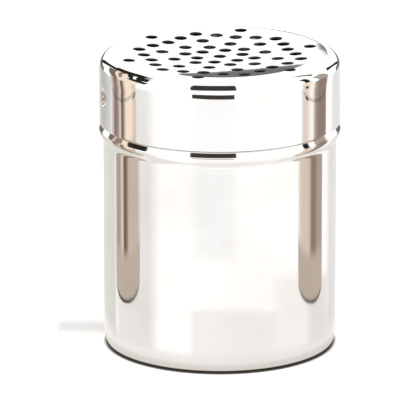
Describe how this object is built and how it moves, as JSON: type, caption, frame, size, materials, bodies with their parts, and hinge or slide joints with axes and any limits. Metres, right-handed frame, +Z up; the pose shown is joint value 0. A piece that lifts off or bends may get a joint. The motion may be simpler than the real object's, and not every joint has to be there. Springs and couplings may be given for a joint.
{
  "type": "spice shaker dispenser",
  "caption": "Polished steel shaker: a drawn can with a rolled bead and a perforated lid that slides over its neck.",
  "frame": {"origin": "centre of the foot ring, on the surface that the can stands on", "axes": "+Z up through the lid, -Y towards the front as pictured, +X to its right"},
  "size_m": [0.07, 0.07, 0.086],
  "materials": {
    "can_steel": "mirror polished stainless sheet",
    "lid_steel": "mirror polished stainless sheet"
  },
  "bodies": {
    "can": {"can_body": "can_steel"},
    "lid": {"perforated_lid": "lid_steel"}
  },
  "joints": [
    {"name": "lid_lift", "type": "slide", "parent": "can", "child": "lid", "axis": [0, 0, 1], "range_m": [0, 0.03]}
  ]
}
